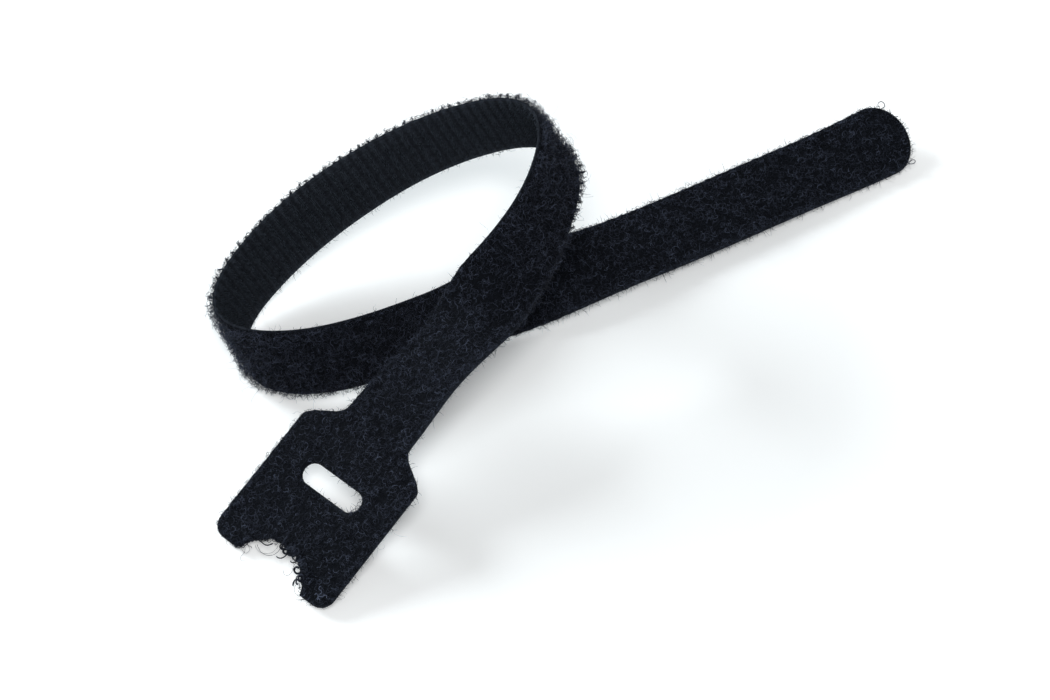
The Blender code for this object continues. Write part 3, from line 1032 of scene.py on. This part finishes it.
# Looks: black nylon with a bluish sheen, under a fine weave on the base cloth
NYLON_TINT = (0.68, 0.78, 1.0, 1.0)
NYLON_NOISE_SCALE = 1400.0
NYLON_NOISE_DETAIL = 2.0
NYLON_TONE_LIFT = 2.0
WEAVE_SCALE = 5.0
WEAVE_DISTORTION = 0.6
WEAVE_DETAIL_SCALE = 20.0
WEAVE_STRENGTH = 0.8
WEAVE_DEPTH = 0.15 * MM
# Painted shade in the grooves between the rows and painted light on the rows, as shares of the
# tone
GROOVE_PAINTED_SHADE = (0.48, 1.3)
# Blender's wave texture repeats after 2 pi / (20 x its scale)
WAVE_TEXTURE_FACTOR = 20
ROW_WAVE_SCALE = 2 * math.pi / (WAVE_TEXTURE_FACTOR * UV_PER_METRE * HOOK_ROW_PITCH)


def math_node(tree, operation, first, second):
    """A math node over two sockets."""
    node = tree.nodes.new("ShaderNodeMath")
    node.operation = operation
    tree.links.new(first, node.inputs[0])
    tree.links.new(second, node.inputs[1])
    return node


def nylon(name, dark, light, roughness, gloss):
    """Black nylon. Each filament's tone blends from dark to light, broken up by fine noise."""
    material = bpy.data.materials.new(name)
    material.use_nodes = True
    tree = material.node_tree
    nodes, links = tree.nodes, tree.links
    shader = nodes["Principled BSDF"]
    tone = nodes.new("ShaderNodeAttribute")
    tone.attribute_name = "tone"
    coordinates = nodes.new("ShaderNodeTexCoord")
    noise = nodes.new("ShaderNodeTexNoise")
    noise.inputs["Scale"].default_value = NYLON_NOISE_SCALE
    noise.inputs["Detail"].default_value = NYLON_NOISE_DETAIL
    links.new(coordinates.outputs["Object"], noise.inputs["Vector"])
    broken = math_node(tree, "MULTIPLY", noise.outputs["Fac"], tone.outputs["Fac"])
    lifted = nodes.new("ShaderNodeMath")
    lifted.name = "tone factor"
    lifted.operation = "MULTIPLY"
    lifted.inputs[1].default_value = NYLON_TONE_LIFT
    lifted.use_clamp = True
    links.new(broken.outputs["Value"], lifted.inputs[0])
    mix = nodes.new("ShaderNodeMix")
    mix.name = "tone mix"
    mix.data_type = "RGBA"
    mix.inputs["A"].default_value = (*dark, 1.0)
    mix.inputs["B"].default_value = (*light, 1.0)
    links.new(lifted.outputs["Value"], mix.inputs["Factor"])
    links.new(mix.outputs["Result"], shader.inputs["Base Color"])
    shader.inputs["Roughness"].default_value = roughness
    shader.inputs["Specular IOR Level"].default_value = gloss
    shader.inputs["Specular Tint"].default_value = NYLON_TINT
    return material


def add_weave(material):
    """A fine plain weave, and painted shade in the grooves between the rows with painted light on
    the rows, laid out on the flat pattern.
    """
    tree = material.node_tree
    nodes, links = tree.nodes, tree.links
    shader = nodes["Principled BSDF"]
    pattern = nodes.new("ShaderNodeUVMap")
    pattern.uv_map = "pattern"
    bump = nodes.new("ShaderNodeBump")
    bump.inputs["Strength"].default_value = WEAVE_STRENGTH
    bump.inputs["Distance"].default_value = WEAVE_DEPTH
    waves = []
    for direction in ("X", "Y"):
        wave = nodes.new("ShaderNodeTexWave")
        wave.bands_direction = direction
        wave.inputs["Scale"].default_value = WEAVE_SCALE
        wave.inputs["Distortion"].default_value = WEAVE_DISTORTION
        wave.inputs["Detail Scale"].default_value = WEAVE_DETAIL_SCALE
        links.new(pattern.outputs["UV"], wave.inputs["Vector"])
        waves.append(wave)
    height = math_node(tree, "MULTIPLY", *(wave.outputs["Fac"] for wave in waves))
    links.new(height.outputs["Value"], bump.inputs["Height"])
    rows = nodes.new("ShaderNodeTexWave")
    rows.bands_direction = "X"
    rows.inputs["Scale"].default_value = ROW_WAVE_SCALE
    links.new(pattern.outputs["UV"], rows.inputs["Vector"])
    groove_shade = nodes.new("ShaderNodeMapRange")
    groove_shade.inputs["To Min"].default_value, groove_shade.inputs["To Max"].default_value = GROOVE_PAINTED_SHADE
    links.new(rows.outputs["Fac"], groove_shade.inputs["Value"])
    tone = nodes["tone factor"].outputs["Value"]
    grooved_shade = math_node(tree, "MULTIPLY", groove_shade.outputs["Result"], tone)
    links.new(grooved_shade.outputs["Value"], nodes["tone mix"].inputs["Factor"])
    links.new(bump.outputs["Normal"], shader.inputs["Normal"])


# A white floor that glows where it is seen but lights nothing, least of all under the strap
FLOOR_SIZE = 6.0
FLOOR_HEIGHT = -0.05 * MM
FLOOR_COLOUR = (0.85, 0.87, 0.88, 1.0)
GLOW_RISES_FROM = 42 * MM
GLOW_FULL_AT = 200 * MM
GLOW_LEAST = 0.16

SKY_COLOUR = (0.90, 0.97, 1.0, 1.0)
SKY_STRENGTH = 0.22
# Name, place, size, power in watts and colour
LAMPS = (
    ("key", (0.0, -0.375, 0.65), 0.3, 3.2, (1.0, 0.985, 0.97)),
    ("low", (-0.58, 0.335, 0.38), 0.35, 5.2, (0.92, 0.98, 1.0)),
)


def floor_material():
    material = bpy.data.materials.new("white_floor")
    material.use_nodes = True
    tree = material.node_tree
    nodes, links = tree.nodes, tree.links
    shader = nodes["Principled BSDF"]
    shader.inputs["Base Color"].default_value = FLOOR_COLOUR
    shader.inputs["Roughness"].default_value = 0.9
    shader.inputs["Specular IOR Level"].default_value = 0.0
    path = nodes.new("ShaderNodeLightPath")
    place = nodes.new("ShaderNodeTexCoord")
    away = nodes.new("ShaderNodeVectorMath")
    away.operation = "LENGTH"
    links.new(place.outputs["Object"], away.inputs[0])
    strength = nodes.new("ShaderNodeMapRange")
    strength.inputs["From Min"].default_value = GLOW_RISES_FROM
    strength.inputs["From Max"].default_value = GLOW_FULL_AT
    strength.inputs["To Min"].default_value = GLOW_LEAST
    strength.inputs["To Max"].default_value = 1.0
    links.new(away.outputs["Value"], strength.inputs["Value"])
    seen = path.outputs["Is Camera Ray"]
    for ray in ("Is Glossy Ray", "Is Transmission Ray"):
        seen = math_node(tree, "MAXIMUM", seen, path.outputs[ray]).outputs["Value"]
    glow = math_node(tree, "MULTIPLY", seen, strength.outputs["Result"])
    links.new(glow.outputs["Value"], shader.inputs["Emission Strength"])
    shader.inputs["Emission Color"].default_value = (1.0, 1.0, 1.0, 1.0)
    return material


def make_floor():
    bpy.ops.mesh.primitive_plane_add(size=FLOOR_SIZE, location=(0.0, 0.0, FLOOR_HEIGHT))
    floor = bpy.context.object
    floor.name = "floor"
    floor.data.materials.append(floor_material())


def area_light(name, place, size, power, colour):
    light = bpy.data.lights.new(name, "AREA")
    light.shape = "DISK"
    light.size = size
    light.energy = power
    light.color = colour
    lamp = bpy.data.objects.new(name, light)
    lamp.location = place
    lamp.rotation_euler = (-Vector(place)).to_track_quat("-Z", "Y").to_euler()
    bpy.context.scene.collection.objects.link(lamp)


def light_scene():
    world = bpy.data.worlds.new("studio")
    bpy.context.scene.world = world
    world.use_nodes = True
    background = world.node_tree.nodes["Background"]
    background.inputs["Color"].default_value = SKY_COLOUR
    background.inputs["Strength"].default_value = SKY_STRENGTH
    for lamp in LAMPS:
        area_light(*lamp)


def set_camera():
    elevation = math.radians(CAMERA_ELEVATION)
    camera = bpy.data.cameras.new("camera")
    camera.sensor_width = CAMERA_SENSOR
    camera.lens = CAMERA_LENS
    camera.clip_start = CAMERA_NEAREST
    holder = bpy.data.objects.new("camera", camera)
    back = Vector((0.0, -math.cos(elevation), math.sin(elevation)))
    holder.location = Vector(CAMERA_AIM) + CAMERA_DISTANCE * back
    holder.rotation_euler = (math.pi / 2 - elevation, 0.0, 0.0)
    bpy.context.scene.collection.objects.link(holder)
    bpy.context.scene.camera = holder


# Name, dark and light colour, roughness and gloss
NYLONS = (
    ("base_cloth_nylon", (0.003, 0.0035, 0.005), (0.042, 0.051, 0.066), 0.8, 0.1),
    ("pile_nylon", (0.0034, 0.004, 0.006), (0.082, 0.097, 0.143), 0.5, 0.12),
    ("hook_nylon", (0.014, 0.0172, 0.023), (0.04, 0.05, 0.065), 0.7, 0.1),
    ("edge_nylon", (0.004, 0.0045, 0.007), (0.06, 0.068, 0.095), 0.6, 0.15),
)
cloth_material, pile_material, hook_material, thread_material = (nylon(*row) for row in NYLONS)
add_weave(cloth_material)

cloth = base_cloth(cloth_material)
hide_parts("cable_tie")
loop_pile(pile_material)
pile_tufts(pile_material)
edge_spikes(pile_material)
hook_rows(hook_material)
edge_threads(thread_material)
for row in PLACED_YARNS:
    placed_yarns(*row, pile_material)
notch_curls(pile_material)
stray_hairs(pile_material)
edge_fuzz(pile_material)
make_floor()
light_scene()
set_camera()
bpy.context.scene.view_settings.view_transform = "Standard"
